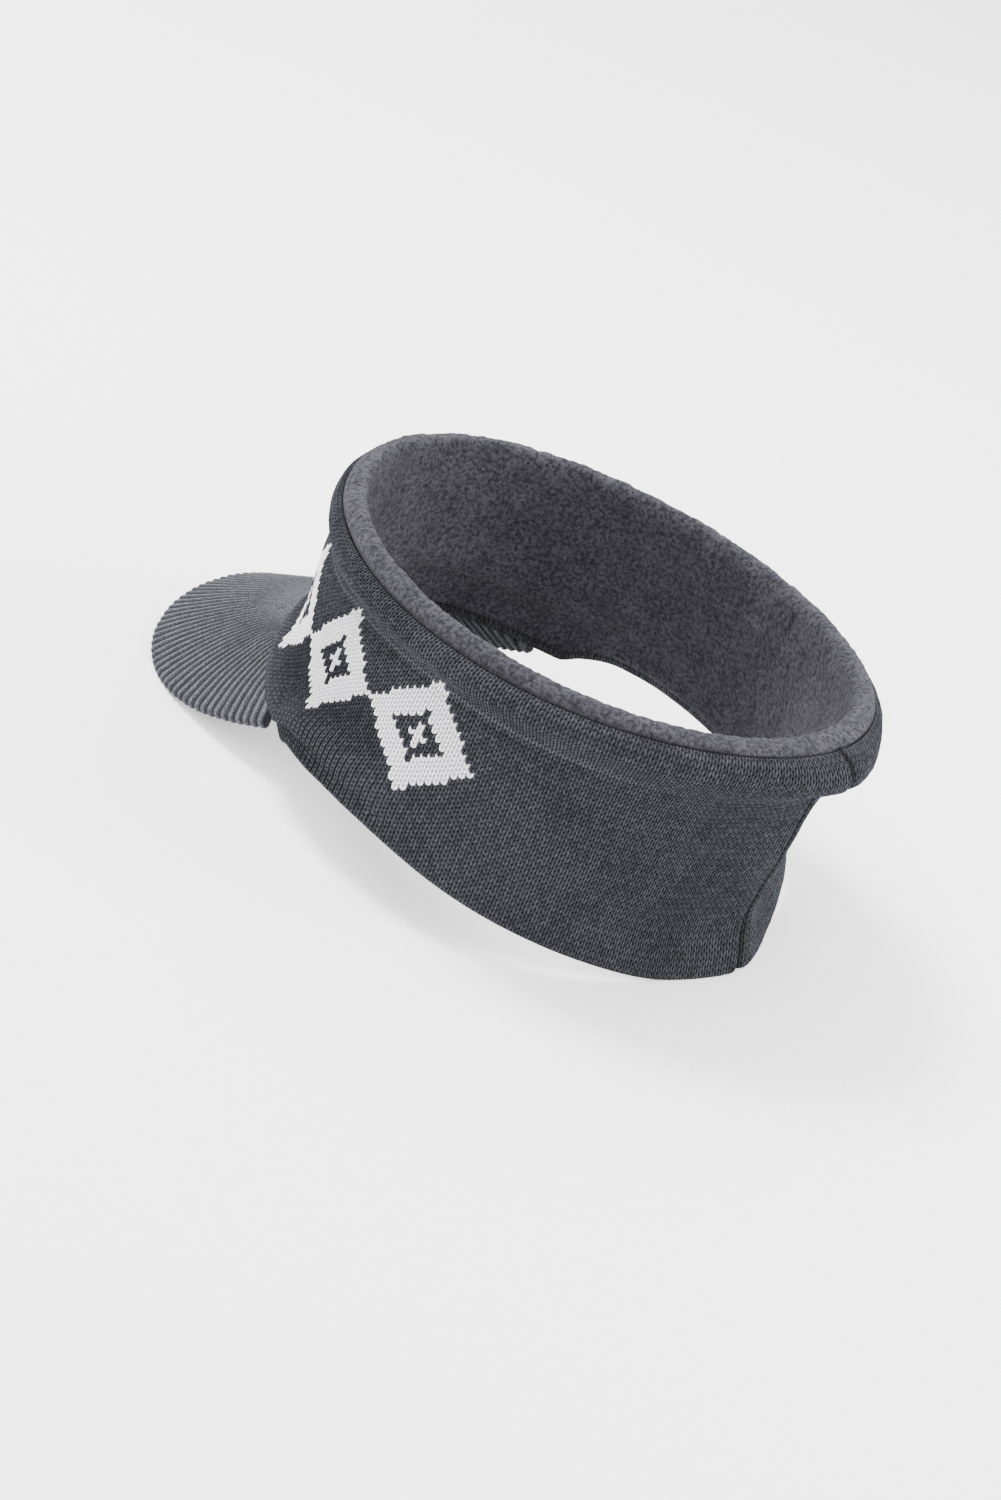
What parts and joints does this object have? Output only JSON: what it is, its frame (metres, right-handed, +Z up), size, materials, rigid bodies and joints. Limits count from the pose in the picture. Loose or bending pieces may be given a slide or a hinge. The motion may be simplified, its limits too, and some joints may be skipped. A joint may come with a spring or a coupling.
{
  "type": "knit visor",
  "caption": "Knitted headband with a fleece lining, a rolled top edge and a ribbed, knit-covered curved peak, open at the crown.",
  "frame": {"origin": "centre of the bounding box at the floor, with the visor resting by itself on the edge of its peak and the back of its hem", "axes": "+Z up, -Y forward along the peak, +X towards the wearer's left"},
  "size_m": [0.1824, 0.2858, 0.1072],
  "materials": {
    "knit": "dark slate-grey knit, matt",
    "fleece": "grey fleece, matt",
    "rib_knit": "slate-grey rib knit, matt"
  },
  "bodies": {
    "root": {"knit_band": "knit", "fleece_lining": "fleece", "peak": "rib_knit"}
  },
  "joints": []
}
